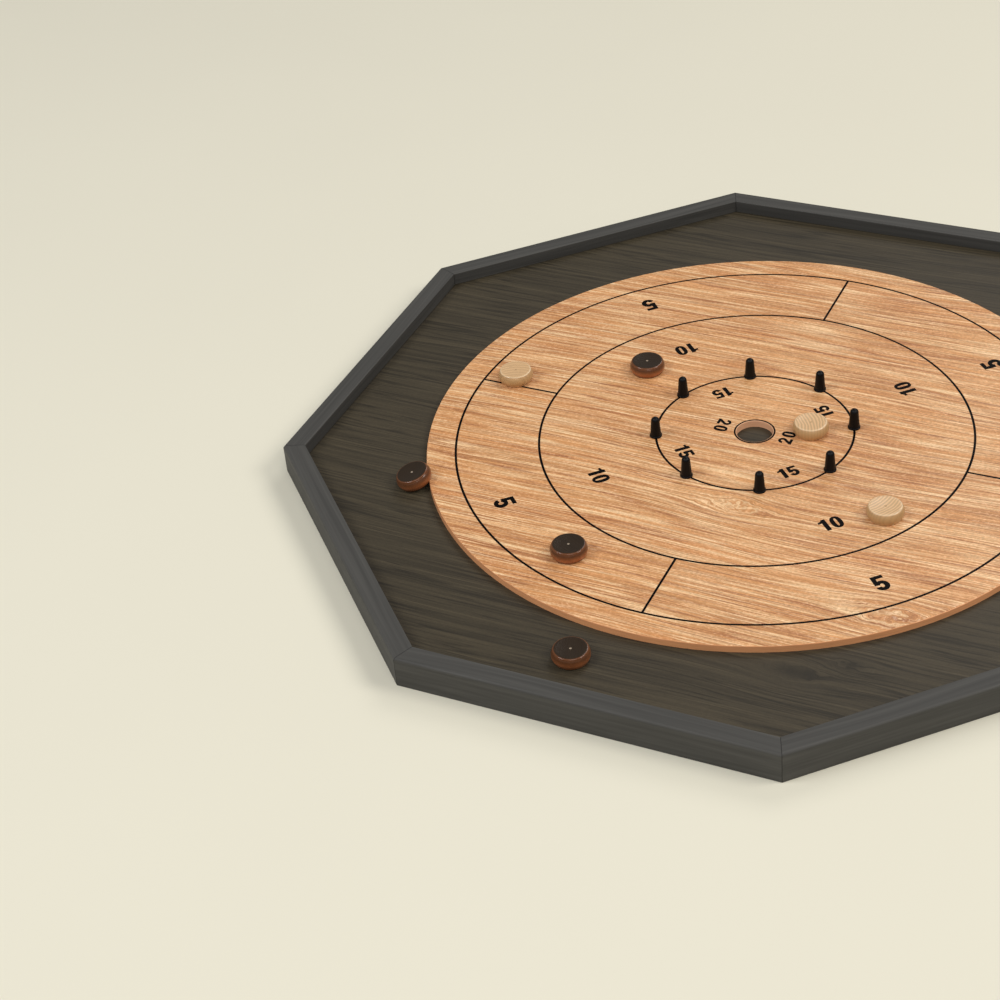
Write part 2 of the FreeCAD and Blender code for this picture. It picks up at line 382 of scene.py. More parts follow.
def flat(radius, angle_deg):
    """The point at this distance and angle from the board's centre, as (x, y)."""
    angle = math.radians(angle_deg)
    return radius * math.cos(angle), radius * math.sin(angle)


def sweep(centre, radii, start_deg, end_deg, steps=ARC_STEPS):
    """Points along part of an ellipse."""
    points = []
    for i in range(steps + 1):
        angle = math.radians(start_deg + (end_deg - start_deg) * i / steps)
        points.append((centre[0] + radii[0] * math.cos(angle), centre[1] + radii[1] * math.sin(angle)))
    return points


def printed(name, outlines, level, film, body, material):
    """A thin film of ink with these outlines, its middle at this level."""
    curve = bpy.data.curves.new(name, "CURVE")
    curve.dimensions = "2D"
    curve.fill_mode = "BOTH"
    curve.extrude = film
    for outline in outlines:
        spline = curve.splines.new("POLY")
        spline.points.add(len(outline) - 1)
        for point, (x, y) in zip(spline.points, outline):
            point.co = (x, y, 0, 1)
        spline.use_cyclic_u = True
    drawn = bpy.data.objects.new(f"{name}_outline", curve)
    bpy.context.scene.collection.objects.link(drawn)
    bpy.context.view_layer.update()
    mesh = bpy.data.meshes.new_from_object(drawn.evaluated_get(bpy.context.evaluated_depsgraph_get()))
    bpy.data.objects.remove(drawn)
    bpy.data.curves.remove(curve)
    mesh.name = name
    mesh.materials.clear()
    mesh.materials.append(material)
    mesh.transform(Matrix.Translation((0, 0, level)))
    piece = bpy.data.objects.new(name, mesh)
    bpy.context.scene.collection.objects.link(piece)
    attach(piece, body)
    return piece


def circle(radius):
    return sweep((0, 0), (radius, radius), 0, 360 * (1 - 1 / RING_STEPS), RING_STEPS - 1)


def ring(radius, width):
    """The two outlines of a ring."""
    return [circle(radius + width / 2), circle(radius - width / 2)]


def ring_arc(radius, width, start_deg, end_deg):
    """The outline of part of a ring."""
    steps = RING_STEPS // PEGS
    outer = sweep((0, 0), (radius + width / 2,) * 2, start_deg, end_deg, steps)
    inner = sweep((0, 0), (radius - width / 2,) * 2, end_deg, start_deg, steps)
    return outer + inner


def spoke(inner, outer, width, angle_deg):
    """The outline of a straight line that runs outwards between two radii."""
    along = Vector(flat(1, angle_deg))
    across = Vector((-along.y, along.x)) * (width / 2)
    corners = (along * inner + across, along * outer + across, along * outer - across,
               along * inner - across)
    return [tuple(corner) for corner in corners]


def digit_zero():
    """Outlines of a bold 0 that is one unit high, and its width."""
    def oval(half_width, half_height, squareness):
        points = []
        for i in range(2 * ARC_STEPS):
            angle = FULL_TURN * i / (2 * ARC_STEPS)
            cosine, sine = math.cos(angle), math.sin(angle)
            points.append((
                0.33 + math.copysign(abs(cosine) ** squareness, cosine) * half_width,
                0.5 + math.copysign(abs(sine) ** squareness, sine) * half_height,
            ))
        return points
    return [oval(0.33, 0.5, 0.82), oval(0.074, 0.33, 0.75)], 0.66


def digit_one():
    stem = [(0.47, 0.0), (0.47, 1.0), (0.25, 1.0)]
    flag = sweep((0.04, 1.0), (0.19, 0.155), -10, -80, FLAG_STEPS)
    foot = [(0.0, 0.84), (0.0, 0.68), (0.20, 0.71), (0.20, 0.0)]
    return [stem + flag + foot], 0.47


def digit_two():
    bowl_outside = sweep((0.31, 0.69), (0.31, 0.31), 190, -38)
    base = [(0.31, 0.205), (0.62, 0.205), (0.62, 0.0), (0.0, 0.0), (0.0, 0.165)]
    bowl_inside = sweep((0.31, 0.69), (0.088, 0.12), -35, 186)
    return [bowl_outside + base + bowl_inside], 0.62


def digit_five():
    top_bar = [(0.045, 1.0), (0.60, 1.0), (0.60, 0.80), (0.245, 0.80)]
    bowl_outside = sweep((0.325, 0.328), (0.33, 0.33), 105, -168)
    bowl_inside = sweep((0.325, 0.328), (0.088, 0.125), -162, 158)
    stem_foot = [(0.015, 0.405)]
    return [top_bar + bowl_outside + bowl_inside + stem_foot], 0.655


DIGITS = {"0": digit_zero, "1": digit_one, "2": digit_two, "5": digit_five}
DIGIT_GAP = 0.17


def numeral(text, height, radius, angle_deg):
    """Outlines of a number whose feet point away from the board's centre."""
    outlines = []
    start = 0.0
    for character in text:
        shapes, width = DIGITS[character]()
        outlines += [[(x + start, y) for x, y in shape] for shape in shapes]
        start += width + DIGIT_GAP
    middle = (start - DIGIT_GAP) / 2
    up = -Vector(flat(1, angle_deg))
    right = Vector((up.y, -up.x))
    centre = -up * radius
    placed = []
    for shape in outlines:
        points = [centre + right * ((x - middle) * height) + up * ((y - 0.5) * height) for x, y in shape]
        placed.append([tuple(point) for point in points])
    return placed


def grown(finish, along, across, deep, seed, knots=()):
    """Masks of the growth of one board: fine fibres, streaks, bands and a slow waviness.

    The grain flows round each knot, given as its place along and across the grain and its size.
    """
    drift = finish.noise(finish.join(along, across, deep), (3.0, 5.0, 5.0), 1.0, 0.5, seed)
    bent = across + (drift - 0.5) * 0.03
    knot_mask = 0.0
    for place_along, place_across, size in knots:
        beside = across - place_across
        away = (beside * beside + ((along - place_along) * 0.45) ** 2) ** 0.5
        near = (away / size).bell()
        curl = finish.noise(finish.join(along, across, deep), (55, 90, 90), 2.0, 0.5, seed + 4.4)
        bent = bent - beside * near * 0.9 + (curl - 0.5) * near * 0.016
        knot_mask = (away / (size * 0.45)).bell() + knot_mask
    point = finish.join(along, bent, deep)
    return {
        "point": point,
        "fibre": finish.noise(point, (14, 900, 900), 3.0, 0.6, seed + 1.3),
        "streak": finish.noise(point, (5.0, 260, 260), 2.5, 0.6, seed + 2.9),
        "pale": finish.noise(point, (6.0, 500, 500), 1.5, 0.5, seed + 5.1),
        "deep": finish.noise(point, (4.5, 350, 350), 2.0, 0.55, seed + 7.7),
        "band": finish.noise(point, (1.6, 17, 17), 2.0, 0.5, seed + 9.2),
        "speck": finish.noise(point, (420, 760, 760), 2.0, 0.6, seed + 11.0),
        "knot": knot_mask,
    }


def octagon_distance(x, y):
    """Distance from the centre, measured square to the nearest side of the octagon."""
    diagonal = (abs(x) + abs(y)) * math.sqrt(0.5)
    return abs(x).larger(abs(y)).larger(diagonal)


def surface_finish(colours):
    """Lacquered tan wood with straight cream and brown streaks, and a plain edge band."""
    finish = Finish("streaked_tan_wood", {
        "Coat Weight": 0.06, "Coat Roughness": 0.25, "Specular IOR Level": 0.35})
    along, across, deep = finish.split(finish.place(rotation=(0, 0, math.radians(GRAIN_ANGLE))))
    wood = grown(finish, along, across, deep, 3.0, SURFACE_KNOTS)
    point = wood["point"]
    base = finish.blend(
        wood["streak"].rise(0.32, 0.68),
        solid([c * 0.86 for c in colours.surface]),
        solid([min(1.0, c * 1.08) for c in colours.surface]),
    )
    redder = solid([colours.surface[0] * 0.92, colours.surface[1] * 0.76, colours.surface[2] * 0.66])
    base = finish.blend(wood["band"].rise(0.46, 0.72) * 0.5, base, redder)
    brown = finish.lines(point, (4.5, 270, 270), 0.05, 31.0)
    brown = brown.larger(finish.lines(point, (6.0, 450, 450), 0.08, 34.0))
    cream = finish.lines(point, (4.5, 300, 300), 0.06, 37.0)
    cream = cream.larger(finish.lines(point, (6.0, 500, 500), 0.09, 43.0))
    broken = 0.50 + wood["fibre"] * 0.9
    deep_mask = (brown * 0.90 + wood["deep"].rise(0.57, 0.66) * 0.5).smaller(1.0) * broken
    deep_mask = deep_mask.larger(wood["knot"] * 0.22)
    base = finish.blend(deep_mask, base, solid(colours.surface_deep))
    pale_mask = (cream * 0.85 + wood["pale"].rise(0.62, 0.67) * 0.25).smaller(1.0) * broken
    base = finish.blend(pale_mask, base, solid(colours.surface_pale))
    base = finish.shade(base, 0.37 + wood["speck"] * 0.86 + wood["fibre"] * 0.36)
    # Painted highlight: fine pale cream glints at the peaks of the specks and fibres.
    glint = (wood["speck"] * 0.5 + wood["fibre"] * 0.5).rise(0.52, 0.66)
    base = finish.blend(glint * 0.30, base, (1.0, 0.80, 0.56, 1))
    x, y, z = finish.split(finish.place())
    radius = (x * x + y * y) ** 0.5
    side = radius.rise(SURFACE_RADIUS - 0.0006, SURFACE_RADIUS - 0.0002)
    side_grain = finish.noise(finish.join(x, y, z), (60, 60, 900), 2.0, 0.5, 4.0)
    band = finish.shade(solid(colours.surface_edge), 0.80 + side_grain * 0.4)
    base = finish.blend(side, base, band)
    bore = 1 - radius.rise(HOLE_RADIUS + 0.0002, HOLE_RADIUS + 0.0005)
    base = finish.blend(bore, base, solid(colours.hole_wall))
    roughness = 0.40 + wood["fibre"] * 0.12 - pale_mask * 0.05
    height = wood["fibre"] * 0.6 + wood["speck"] * 0.3 - deep_mask * 0.5
    return finish.wear(base, roughness, height, 0.00008)


def ditch_finish(colours):
    """Dark stained wood, darkened against the rails by dust and painted shade."""
    finish = Finish("dark_stained_wood", {"Specular IOR Level": 0.35})
    along, across, deep = finish.split(finish.place(rotation=(0, 0, math.radians(GRAIN_ANGLE))))
    wood = grown(finish, along, across, deep, 21.0, DITCH_KNOTS)
    base = finish.blend(
        wood["streak"].rise(0.25, 0.78),
        solid([c * 0.72 for c in colours.ditch]),
        solid([c * 1.30 for c in colours.ditch]),
    )
    thin = finish.lines(wood["point"], (5.0, 150, 150), 0.055, 33.0)
    thin = thin.larger(finish.lines(wood["point"], (7.0, 260, 260), 0.07, 35.0))
    dark_lines = (wood["deep"].rise(0.58, 0.72) * 0.5 + thin * 0.85 + wood["knot"] * 0.9).smaller(1.0)
    base = finish.blend(dark_lines * 0.85, base, solid([c * 0.34 for c in colours.ditch]))
    base = finish.blend(wood["pale"].rise(0.60, 0.72) * 0.4, base,
                        solid([c * 2.0 for c in colours.ditch]))
    base = finish.shade(base, 0.38 + wood["fibre"] * 0.54 + wood["band"] * 0.22 + wood["speck"] * 0.52)
    x, y, _ = finish.split(finish.place())
    to_rail = RAIL_INNER - octagon_distance(x, y)
    # Dust and painted shade: the ditch is darkest against the rails and a little darker everywhere.
    corner_dust_and_shade = 1 - to_rail.rise(0.0, 0.0022) * 0.75
    base = finish.blend(corner_dust_and_shade * 0.75, base, solid([c * 0.22 for c in colours.ditch]))
    roughness = 0.46 + wood["fibre"] * 0.16
    height = wood["fibre"] * 0.7 - dark_lines * 0.5 + wood["speck"] * 0.2
    return finish.wear(base, roughness, height, 0.00010)


def rail_finish(colours, index):
    """Charcoal stain over faint grain that follows one rail, paler along its edges from wear and a
    painted highlight.
    """
    finish = Finish(f"charcoal_rail_{index + 1}", {"Specular IOR Level": 0.35})
    turn = math.radians(SIDE_ANGLE * index)
    out, sideways, up = finish.split(finish.place(rotation=(0, 0, turn)))
    wood = grown(finish, sideways, out, up, 40.0 + 6.1 * index)
    base = finish.blend(
        wood["streak"].rise(0.25, 0.80),
        solid([c * 0.78 for c in colours.rail]),
        solid([c * 1.20 for c in colours.rail]),
    )
    base = finish.blend(wood["deep"].rise(0.60, 0.76) * 0.35, base,
                        solid([c * 0.55 for c in colours.rail]))
    base = finish.shade(base, 0.88 + wood["fibre"] * 0.16 + wood["band"] * 0.08)
    edge_line = (out - RAIL_INNER).smaller(RAIL_OUTER - out)
    from_top = RAIL_TOP - up
    edge = 1 - (edge_line * edge_line + from_top * from_top) ** 0.5 / 0.0026
    # Wear and painted highlight: the stain is lightened along the rail's edges.
    rubbed_and_highlit = edge.rise(0.1, 0.9) * (wood["band"] * 0.8 + wood["fibre"] * 0.4).rise(0.35, 0.8)
    base = finish.blend(rubbed_and_highlit * 0.18, base, solid([c * 1.8 for c in colours.rail]))
    to_mitre = abs(abs(sideways) - out * math.tan(math.radians(SIDE_ANGLE / 2)))
    joint = 1 - to_mitre.rise(0.00012, 0.00045)
    base = finish.blend(joint * 0.8, base, solid([c * 0.12 for c in colours.rail]))
    roughness = 0.56 + wood["fibre"] * 0.16 - rubbed_and_highlit * 0.08
    height = wood["fibre"] * 0.5 - joint * 2.0 + wood["speck"] * 0.2
    return finish.wear(base, roughness, height, 0.00007)


def games_finish(colours):
    """Red-brown wood whose grain runs across the two fields."""
    finish = Finish("red_brown_wood", {"Coat Weight": 0.15, "Coat Roughness": 0.22})
    x, y, z = finish.split(finish.place())
    wood = grown(finish, y, x, z, 60.0)
    base = finish.blend(
        wood["band"].rise(0.28, 0.72),
        solid([c * 0.86 for c in colours.games]),
        solid([min(1.0, c * 1.16) for c in colours.games]),
    )
    lines = finish.lines(wood["point"], (3.0, 90, 90), 0.08, 68.0)
    lines = (lines * 0.8 + wood["deep"].rise(0.60, 0.74) * 0.6).smaller(1.0)
    base = finish.blend(lines * 0.36, base, solid([c * 0.55 for c in colours.games]))
    pores = finish.noise(wood["point"], (90, 1500, 1500), 1.0, 0.5, 66.0).rise(0.66, 0.74)
    base = finish.blend(pores * 0.35, base, solid([c * 0.35 for c in colours.games]))
    base = finish.shade(base, 0.90 + wood["fibre"] * 0.16)
    to_rail = RAIL_INNER - octagon_distance(x, y)
    # Painted shade: the wood darkens close to the rails, which stand proud of the panel.
    dust_and_shade = 1 - to_rail.rise(0.0, 0.004)
    base = finish.blend(dust_and_shade * 0.5, base, solid([c * 0.30 for c in colours.games]))
    roughness = 0.38 + wood["fibre"] * 0.14
    height = wood["fibre"] * 0.5 - pores * 0.8
    return finish.wear(base, roughness, height, 0.00006)


def ink_finish(name, colour, along_y, seed, strength=0.25):
    """Printing ink that lets a little of the wood grain through."""
    finish = Finish(name, {"Specular IOR Level": 0.05})
    turn = 90.0 if along_y else GRAIN_ANGLE
    along, across, deep = finish.split(finish.place(rotation=(0, 0, math.radians(turn))))
    wood = grown(finish, along, across, deep, seed)
    grain = (wood["streak"] + wood["fibre"]) * strength
    base = finish.shade(solid(colour), 1 - strength + grain)
    base = finish.blend(wood["pale"].rise(0.60, 0.74) * strength * 0.7, base,
                        solid([min(1.0, c * 1.7 + 0.004) for c in colour]))
    return finish.wear(base, 0.36 + wood["fibre"] * 0.14, wood["fibre"], 0.00005)


def rubber_finish(colours):
    """Black moulded rubber with a little dust in its skin."""
    finish = Finish("black_rubber_skin", {"Specular IOR Level": 0.18})
    point = finish.place()
    cloud = finish.noise(point, (180, 180, 180), 3.0, 0.6, 2.0)
    grain = finish.noise(point, (2600, 2600, 2600), 2.0, 0.6, 5.0)
    dust_and_shade = (cloud * 0.7 + grain * 0.5).rise(0.62, 0.95)
    base = finish.blend(dust_and_shade * 0.10, solid(colours.rubber), (0.05, 0.047, 0.043, 1))
    return finish.wear(base, 0.34 + cloud * 0.14 + dust_and_shade * 0.2, grain, 0.00004)


def steel_finish(colours):
    """Turned steel with fine rings."""
    finish = Finish("turned_steel", {"Metallic": 1.0})
    point = finish.place()
    rings = finish.noise(point, (300, 300, 9000), 2.0, 0.5, 1.0)
    base = finish.shade(solid(colours.steel), 0.85 + rings * 0.25)
    return finish.wear(base, 0.24 + rings * 0.18, rings, 0.00003)


def key_finish(colours):
    """Bare straight-grained wood."""
    finish = Finish("bare_key_wood", {})
    along, across, deep = finish.split(finish.place())
    wood = grown(finish, deep, across, along, 80.0)
    base = finish.shade(solid(colours.key), 0.7 + wood["streak"] * 0.35 + wood["fibre"] * 0.2)
    return finish.wear(base, 0.62 + wood["fibre"] * 0.15, wood["fibre"], 0.00010)


def disc_place(finish, node):
    """Coordinates from a disc's own centre, with its face square to the third."""
    low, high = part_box(node)
    centre = (low + high) / 2
    if node != "dark_disc_leaning":
        return finish.place(origin=tuple(centre))
    face = leaning_face(node)
    turn = Vector((0, 0, 1)).rotation_difference(face)
    return finish.place(origin=tuple(centre), rotation=tuple(turn.to_euler()))


def leaning_face(node):
    """The direction that a disc's upper face looks in, from the widest flat part of its mesh."""
    total = Vector((0, 0, 0))
    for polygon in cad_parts[node].data.polygons:
        if polygon.normal.z > 0.9:
            total += polygon.normal * polygon.area
    return total.normalized()


def dark_disc_finish(colours, node, seed):
    """Dark stained and lacquered wood: nearly black faces over red-brown sides."""
    finish = Finish(f"dark_lacquer_{node}", {
        "Coat Weight": 0.32, "Coat Roughness": 0.07, "Specular IOR Level": 0.25})
    point = disc_place(finish, node)
    x, y, z = finish.split(point)
    turn = math.radians(37.0 * seed)
    grain_point = finish.node(
        "ShaderNodeMapping", {"vector_type": "POINT"},
        {"Vector": point, "Rotation": (0, 0, turn), "Location": (seed * 0.9, seed * 0.4, 0)})
    along, across, deep = finish.split(grain_point)
    wood = grown(finish, along, across, deep, 100.0 + seed * 7)
    radius = (x * x + y * y) ** 0.5
    lathe = finish.noise(finish.join(radius, z, 0.0), (3200, 3200, 1), 1.0, 0.5, seed)
    side = radius.rise(DARK_FACE_EDGE, DARK_SIDE)
    # Painted light: the side's red-brown is strongest a little below its middle and fades towards the
    # top and bottom edges.
    glow = ((z / DISC_HALF + 0.35) / 0.55).bell()
    faces = solid(colours.disc_dark)
    base = finish.blend(side * (glow * 0.8 + 0.2), faces, solid(colours.disc_dark_side))
    base = finish.shade(base, 0.55 + wood["streak"] * 0.5 + wood["fibre"] * 0.35)
    # Painted highlight: a lighter red-brown ring round the face's rim.
    rim_highlight = (1 - abs(radius - DARK_RIM) / DARK_RIM_WIDTH).rise(0.0, 1.0)
    base = finish.blend(rim_highlight * 0.15, base, solid([min(1, c * 2.2) for c in colours.disc_dark_side]))
    dimple = 1 - radius.rise(DIMPLE_FLOOR, DIMPLE_EDGE)
    base = finish.blend(dimple * 0.8, base, (0.42, 0.33, 0.24, 1))
    roughness = 0.20 + wood["fibre"] * 0.12 + lathe * 0.05
    height = wood["fibre"] * 0.4 + lathe * 0.8
    return finish.wear(base, roughness, height, 0.00003)


def pale_disc_finish(colours, node, seed):
    """Clear-lacquered pale wood with rings of growth across the face."""
    finish = Finish(f"pale_lacquer_{node}", {"Coat Weight": 0.35, "Coat Roughness": 0.18})
    point = disc_place(finish, node)
    x, y, z = finish.split(point)
    turn = math.radians(20.0 + 50.0 * seed)
    grain_point = finish.node(
        "ShaderNodeMapping", {"vector_type": "POINT"},
        {"Vector": point, "Rotation": (0, 0, turn), "Location": (0.03 + 0.004 * seed, 0.05, 0)})
    along, across, deep = finish.split(grain_point)
    wobble = finish.noise(grain_point, (60, 60, 20), 2.0, 0.5, seed)
    growth = (along * along + across * across) ** 0.5 + wobble * 0.004
    rings = (growth * (FULL_TURN / GROWTH_RING)).wave() * 0.5 + 0.5
    fibre = finish.noise(grain_point, (1200, 1200, 60), 2.0, 0.6, seed + 2)
    radius = (x * x + y * y) ** 0.5
    lathe = finish.noise(finish.join(radius, z, 0.0), (2600, 2600, 1), 1.0, 0.5, seed)
    side = radius.rise(PALE_FACE_EDGE, PALE_SIDE)
    base = finish.blend(side, solid(colours.disc_pale), solid(colours.disc_pale_side))
    base = finish.shade(base, 0.72 + rings * (0.34 - side * 0.26) + fibre * 0.18)
    # Painted highlight: a bright ring round the face's rim.
    rim_highlight = (1 - abs(radius - PALE_RIM) / PALE_RIM_WIDTH).rise(0.0, 1.0)
    base = finish.blend(rim_highlight * 0.5, base, (0.88, 0.67, 0.42, 1))
    soil = finish.noise(point, (90, 90, 90), 3.0, 0.6, seed + 4).rise(0.5, 0.8) * 0.18
    base = finish.blend(soil, base, solid([c * 0.6 for c in colours.disc_pale_side]))
    dimple = 1 - radius.rise(DIMPLE_FLOOR, DIMPLE_EDGE)
    base = finish.blend(dimple * 0.5, base, solid([c * 0.5 for c in colours.disc_pale_side]))
    roughness = 0.30 + fibre * 0.12 + lathe * 0.05
    height = fibre * 0.4 + rings * 0.2 + lathe * 0.7
    return finish.wear(base, roughness, height, 0.00003)


def repaint(node, material):
    """Gives a CAD node its finished material."""
    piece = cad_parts[node]
    for slot_of in piece.material_slots:
        slot_of.material = material


class CROKINOLE_OT_rails(bpy.types.Operator):
    """Finish the eight rails, each with grain along its own length"""

    bl_idname = "crokinole.rails"
    bl_label = "Rails"

    def execute(self, context):
        colours = context.scene.board_finishes
        for index in range(SIDES):
            repaint(f"rail_{index + 1}", rail_finish(colours, index))
        return {"FINISHED"}


class CROKINOLE_OT_hidden_pieces(bpy.types.Operator):
    """Finish the keys inside the mitres and the pins inside the pegs"""

    bl_idname = "crokinole.hidden_pieces"
    bl_label = "Hidden pieces"

    def execute(self, context):
        colours = context.scene.board_finishes
        key = key_finish(colours)
        steel = steel_finish(colours)
        for index in range(SIDES):
            repaint(f"corner_key_{index + 1}", key)
        for index in range(PEGS):
            repaint(f"peg_post_{index + 1}", steel)
        return {"FINISHED"}


class CROKINOLE_OT_boards(bpy.types.Operator):
    """Finish the playing surface, the ditch and the games side"""

    bl_idname = "crokinole.boards"
    bl_label = "Boards"

    def execute(self, context):
        colours = context.scene.board_finishes
        repaint("playing_surface", surface_finish(colours))
        repaint("ditch_panel", ditch_finish(colours))
        repaint("games_panel", games_finish(colours))
        return {"FINISHED"}


class CROKINOLE_OT_score_lines(bpy.types.Operator):
    """Print the rings, the quarter lines and the numerals"""

    bl_idname = "crokinole.score_lines"
    bl_label = "Score lines"

    def execute(self, context):
        sizes = context.scene.score_printing
        ink = ink_finish("black_ink", context.scene.board_finishes.ink, False, 3.0)

        def show(name, outlines):
            printed(name, outlines, SURFACE_TOP, sizes.film, "board", ink)

        for name, radius in (("ten_ring", sizes.ten_ring), ("five_ring", sizes.five_ring)):
            show(name, ring(radius, sizes.line_width))
        show("hole_ring", ring(sizes.hole_ring, sizes.hole_line_width))
        socket_share = math.degrees(SOCKET_RADIUS / sizes.fifteen_ring)
        peg_angle = 360 / PEGS
        arcs = []
        for index in range(PEGS):
            start = peg_angle * (index - 0.5) + socket_share
            end = peg_angle * (index + 0.5) - socket_share
            arcs.append(ring_arc(sizes.fifteen_ring, sizes.line_width, start, end))
        show("fifteen_ring", arcs)
        lines = []
        for quarter in range(QUARTERS):
            angle = QUARTER_ANGLE * (quarter + 0.5)
            inner = sizes.ten_ring + sizes.line_width / 2
            outer = sizes.five_ring - sizes.line_width / 2
            lines.append(spoke(inner, outer, sizes.line_width, angle))
        show("quarter_lines", lines)
        numbers = []
        for text, height, radius, angles in NUMERALS:
            for angle in angles:
                numbers += numeral(text, height, radius, angle)
        show("numerals", numbers)
        return {"FINISHED"}


class CROKINOLE_OT_games_fields(bpy.types.Operator):
    """Print the field of points and the chequered field on the underside"""

    bl_idname = "crokinole.games_fields"
    bl_label = "Games fields"

    def execute(self, context):
        sizes = context.scene.games_printing
        colours = context.scene.board_finishes
        chequer_width = SQUARES * sizes.square
        left = -(sizes.field_width + sizes.field_gap + chequer_width) / 2
        self.points_field(sizes, colours, left)
        self.chequered_field(sizes, colours, left + sizes.field_width + sizes.field_gap)
        return {"FINISHED"}

    def show(self, name, outlines, sizes, material):
        seen_from_below = [[(x, -y) for x, y in outline] for outline in outlines]
        printed(name, seen_from_below, GAMES_FACE, sizes.film, "board", material)

    def points_field(self, sizes, colours, left):
        """Long points on each side of the field, in two halves beside a bar."""
        top = sizes.field_height / 2
        margin = 4 * sizes.fine_line
        half_width = (sizes.field_width - sizes.bar_width - 2 * margin) / 2
        pitch = half_width / (POINTS // 2)
        base = (pitch - sizes.point_gap) / 2
        dark = []
        red = []
        for side in (1, -1):
            for index in range(POINTS):
                middle = left + margin + pitch * (index + 0.5)
                if index >= POINTS // 2:
                    middle += sizes.bar_width
                foot = side * (top - sizes.border)
                tip = side * (top - sizes.border - sizes.point_length)
                point = [(middle - base, foot), (middle + base, foot), (middle, tip)]
                (dark if (index % 2 == 0) == (side > 0) else red).append(point)
        dark_ink = ink_finish("grey_brown_ink", colours.point_dark, True, 60.0, 0.35)
        self.show("dark_points", dark, sizes, dark_ink)
        red_ink = ink_finish("red_brown_ink", colours.point_red, True, 60.0, 0.35)
        self.show("red_points", red, sizes, red_ink)
        self.field_border(sizes, colours, left, left + margin + half_width)

    def field_border(self, sizes, colours, left, bar):
        """A strip along the bases of the points, and upright lines at the ends and beside the bar."""
        top = sizes.field_height / 2
        reach = top - sizes.border * 0.72
        line = sizes.fine_line
        right = left + sizes.field_width
        strips = []
        for side in (1, -1):
            outer = side * top
            inner = side * reach
            strips.append([(left, outer), (right, outer), (right, inner), (left, inner)])
        columns = (left, left + 2 * line, bar + 2 * line, bar + sizes.bar_width - 3 * line,
                   right - 3 * line, right - line)
        for column in columns:
            edge = column + line
            strips.append([(column, -reach), (edge, -reach), (edge, reach), (column, reach)])
        border_ink = ink_finish("border_ink", colours.square_dark, True, 60.0, 0.3)
        self.show("field_border", strips, sizes, border_ink)

    def chequered_field(self, sizes, colours, left):
        """Rows of squares, dark at the top left."""
        top = SQUARES * sizes.square / 2
        side = sizes.square - 2 * SQUARE_TRIM
        dark = []
        pale = []
        for row in range(SQUARES):
            for column in range(SQUARES):
                x = left + column * sizes.square + SQUARE_TRIM
                y = top - row * sizes.square - SQUARE_TRIM
                square = [(x, y), (x + side, y), (x + side, y - side), (x, y - side)]
                (dark if (row + column) % 2 == 0 else pale).append(square)
        brown_ink = ink_finish("square_brown_ink", colours.square_dark, True, 60.0, 0.35)
        self.show("dark_squares", dark, sizes, brown_ink)
        tan_ink = ink_finish("square_tan_ink", colours.square_pale, True, 60.0, 0.2)
        self.show("pale_squares", pale, sizes, tan_ink)


class CROKINOLE_OT_pegs(bpy.types.Operator):
    """Finish the rubber of the eight pegs"""

    bl_idname = "crokinole.pegs"
    bl_label = "Pegs"

    def execute(self, context):
        rubber = rubber_finish(context.scene.board_finishes)
        for index in range(PEGS):
            repaint(f"peg_bumper_{index + 1}", rubber)
        return {"FINISHED"}


class CROKINOLE_OT_discs(bpy.types.Operator):
    """Finish the dark and the light discs"""

    bl_idname = "crokinole.discs"
    bl_label = "Discs"

    def execute(self, context):
        colours = context.scene.board_finishes
        for seed, node in enumerate(DARK_DISCS, start=1):
            repaint(node, dark_disc_finish(colours, node, seed))
        for seed, node in enumerate(LIGHT_DISCS, start=1):
            repaint(node, pale_disc_finish(colours, node, seed))
        return {"FINISHED"}


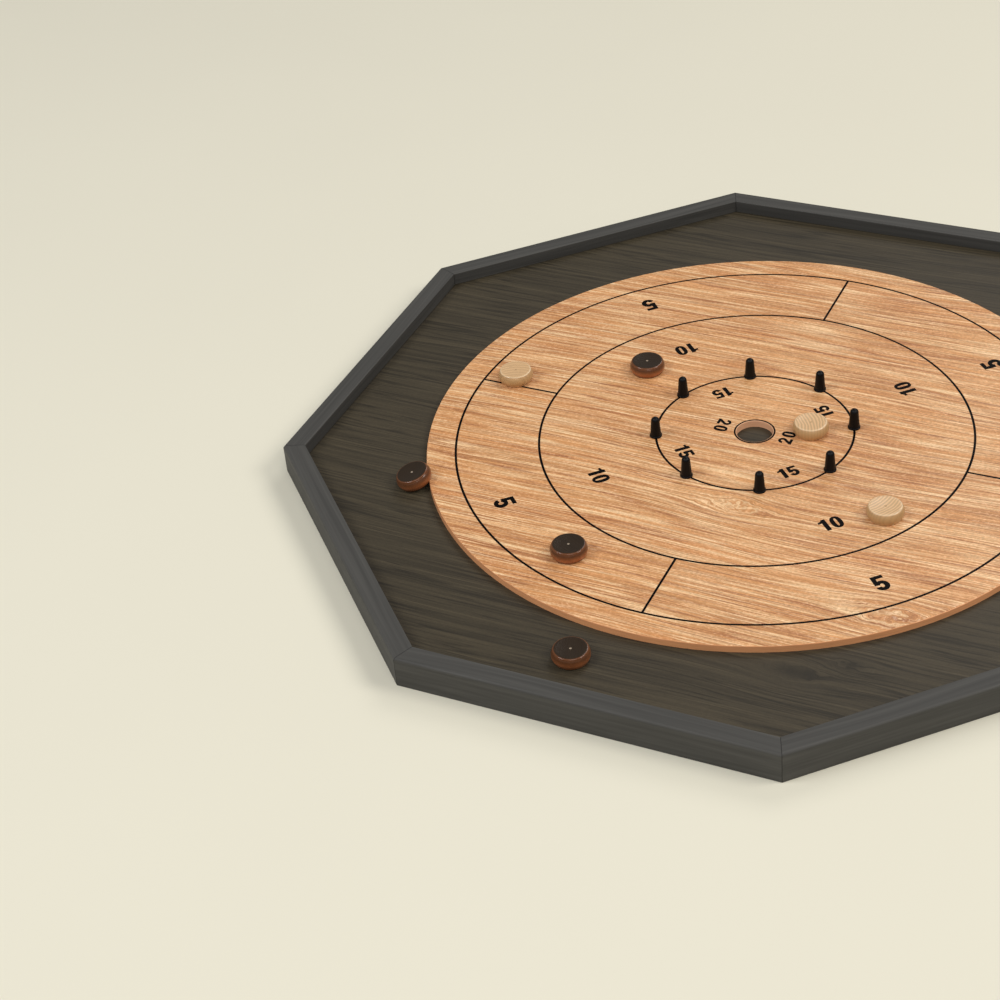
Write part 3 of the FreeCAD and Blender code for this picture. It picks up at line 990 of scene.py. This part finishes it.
class CROKINOLE_OT_studio(bpy.types.Operator):
    """Lay the floor, hang the lights and place the camera"""

    bl_idname = "crokinole.studio"
    bl_label = "Studio"

    def execute(self, context):
        studio = context.scene.studio_settings
        self.floor(studio)
        self.sky(context, studio)
        for name, power, size, place, colour in LAMPS:
            self.lamp(name, getattr(studio, power), size, place, colour)
        self.camera(context, studio)
        context.scene.view_settings.view_transform = "Standard"
        return {"FINISHED"}

    def floor(self, studio):
        half = studio.floor_size / 2
        mesh = bpy.data.meshes.new("floor")
        corners = [(-half, -half, 0), (half, -half, 0), (half, half, 0), (-half, half, 0)]
        mesh.from_pydata(corners, [], [(0, 1, 2, 3)])
        finish = Finish("pale_floor", {})
        cloud = finish.noise(finish.place(), (3, 3, 3), 2.0, 0.5)
        colour = finish.shade(solid(studio.floor), 0.985 + cloud * 0.03)
        mesh.materials.append(finish.wear(colour, 0.75 + cloud * 0.1))
        floor = bpy.data.objects.new("floor", mesh)
        bpy.context.scene.collection.objects.link(floor)

    def sky(self, context, studio):
        world = bpy.data.worlds.new("even_sky")
        world.use_nodes = True
        background = world.node_tree.nodes["Background"]
        background.inputs["Color"].default_value = (0.95, 0.97, 1.0, 1.0)
        background.inputs["Strength"].default_value = studio.sky
        context.scene.world = world

    def lamp(self, name, power, size, place, colour):
        light = bpy.data.lights.new(name, "AREA")
        light.shape = "DISK"
        light.size = size
        light.energy = power
        light.color = colour
        lamp = bpy.data.objects.new(name, light)
        lamp.location = place
        aim = Vector((0, 0, SURFACE_TOP)) - Vector(place)
        lamp.rotation_euler = aim.to_track_quat("-Z", "Y").to_euler()
        bpy.context.scene.collection.objects.link(lamp)

    def camera(self, context, studio):
        """Turns the camera so that the playing surface's centre lies where the settings say."""
        turn = studio.azimuth
        tilt = studio.elevation
        roll = studio.roll
        ahead = Vector((-math.sin(turn), math.cos(turn), 0))
        back = Vector((0, 0, math.sin(tilt))) - ahead * math.cos(tilt)
        level = Vector((math.cos(turn), math.sin(turn), 0))
        lift = back.cross(level)
        right = level * math.cos(roll) + lift * math.sin(roll)
        up = lift * math.cos(roll) - level * math.sin(roll)
        target = Vector((0, 0, SURFACE_TOP))
        place = target - right * studio.aside - up * studio.above + back * studio.distance
        data = bpy.data.cameras.new("board_camera")
        data.sensor_width = 36.0
        data.lens = studio.lens
        data.clip_start = 0.05
        data.clip_end = 50.0
        camera = bpy.data.objects.new("board_camera", data)
        turned = Matrix((right, up, back)).transposed().to_4x4()
        camera.matrix_world = Matrix.Translation(place) @ turned
        context.scene.collection.objects.link(camera)
        context.scene.camera = camera


class CROKINOLE_PT_board(bpy.types.Panel):
    """Steps that dress the board, in order"""

    bl_idname = "CROKINOLE_PT_board"
    bl_label = "Crokinole Board"
    bl_space_type = "VIEW_3D"
    bl_region_type = "UI"
    bl_category = "Crokinole"

    def draw(self, context):
        for operator in OPERATORS:
            self.layout.operator(operator.bl_idname)
        for group_name in GROUPS:
            box = self.layout.box()
            group = getattr(context.scene, group_name)
            for key in group.bl_rna.properties.keys():
                if key not in ("name", "rna_type"):
                    box.prop(group, key)


GROUPS = {
    "score_printing": ScorePrinting,
    "games_printing": GamesPrinting,
    "board_finishes": BoardFinishes,
    "studio_settings": StudioSettings,
}
OPERATORS = (
    CROKINOLE_OT_rails,
    CROKINOLE_OT_hidden_pieces,
    CROKINOLE_OT_boards,
    CROKINOLE_OT_score_lines,
    CROKINOLE_OT_games_fields,
    CROKINOLE_OT_pegs,
    CROKINOLE_OT_discs,
    CROKINOLE_OT_studio,
)


def register():
    for cls in (*GROUPS.values(), *OPERATORS, CROKINOLE_PT_board):
        bpy.utils.register_class(cls)
    for name, group in GROUPS.items():
        setattr(bpy.types.Scene, name, bpy.props.PointerProperty(type=group))


def unregister():
    for name in GROUPS:
        delattr(bpy.types.Scene, name)
    for cls in (CROKINOLE_PT_board, *reversed(OPERATORS), *GROUPS.values()):
        bpy.utils.unregister_class(cls)


def main():
    register()
    for operator in OPERATORS:
        family, step = operator.bl_idname.split(".")
        getattr(getattr(bpy.ops, family), step)()


if __name__ == "__main__":
    main()
